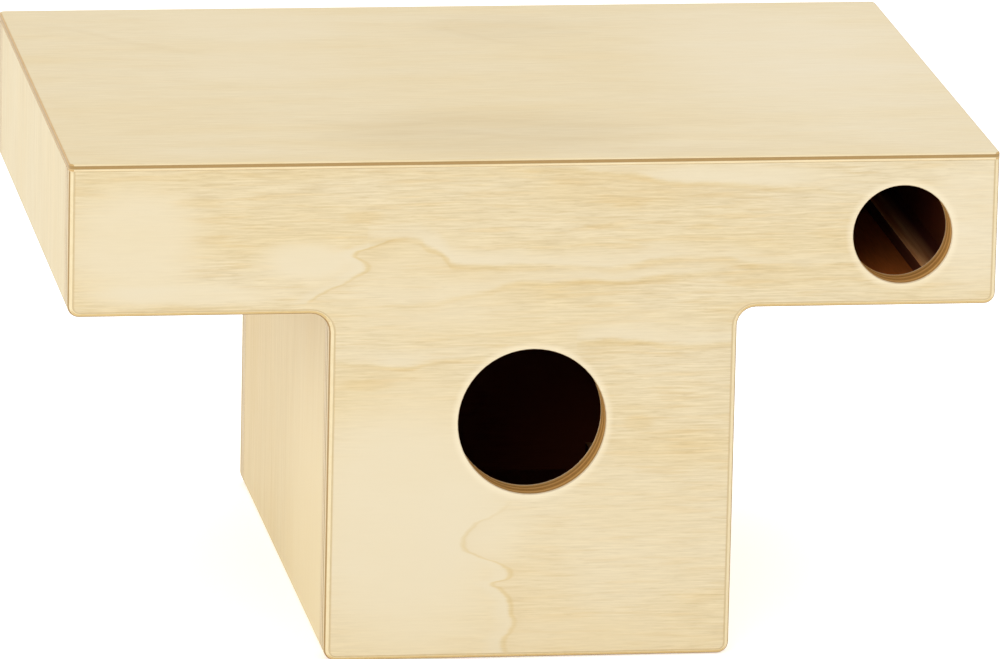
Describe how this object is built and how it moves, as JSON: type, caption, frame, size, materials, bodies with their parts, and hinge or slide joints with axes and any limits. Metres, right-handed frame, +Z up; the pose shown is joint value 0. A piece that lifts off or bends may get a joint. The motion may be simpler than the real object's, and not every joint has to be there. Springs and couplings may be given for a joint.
{
  "type": "lap cajon",
  "caption": "T-shaped wooden lap drum: a box whose leg stands between the thighs and whose arms rest on them, with a thin playing board, round sound ports and a snare strip.",
  "frame": {"origin": "middle of the leg's underside, which is the bottom centre of the bounding box", "axes": "+X to the player's right along the arms, +Y from the front panel to the back panel, +Z up from the leg to the playing board; the front faces -Y"},
  "size_m": [0.4, 0.3, 0.2205],
  "materials": {
    "birch_plywood_lacquered": "pale birch plywood, sanded, clear satin lacquer",
    "playing_board_plywood": "thin birch plywood, sanded, clear satin lacquer",
    "softwood_batten": "planed, left bare",
    "zinc_plated_steel": "drawn wire and pressed plate, bright zinc plated"
  },
  "bodies": {
    "root": {"front_panel": "birch_plywood_lacquered", "back_panel": "birch_plywood_lacquered", "arm_end_left": "birch_plywood_lacquered", "arm_end_right": "birch_plywood_lacquered", "arm_floor_left": "birch_plywood_lacquered", "arm_floor_right": "birch_plywood_lacquered", "leg_side_left": "birch_plywood_lacquered", "leg_side_right": "birch_plywood_lacquered", "leg_bottom": "birch_plywood_lacquered", "top_board": "playing_board_plywood", "arm_batten_left": "softwood_batten", "arm_batten_right": "softwood_batten", "leg_batten_left": "softwood_batten", "leg_batten_right": "softwood_batten", "snare_rail": "softwood_batten", "snare_strip": "zinc_plated_steel", "snare_screw_front": "zinc_plated_steel", "snare_screw_back": "zinc_plated_steel"}
  },
  "joints": []
}
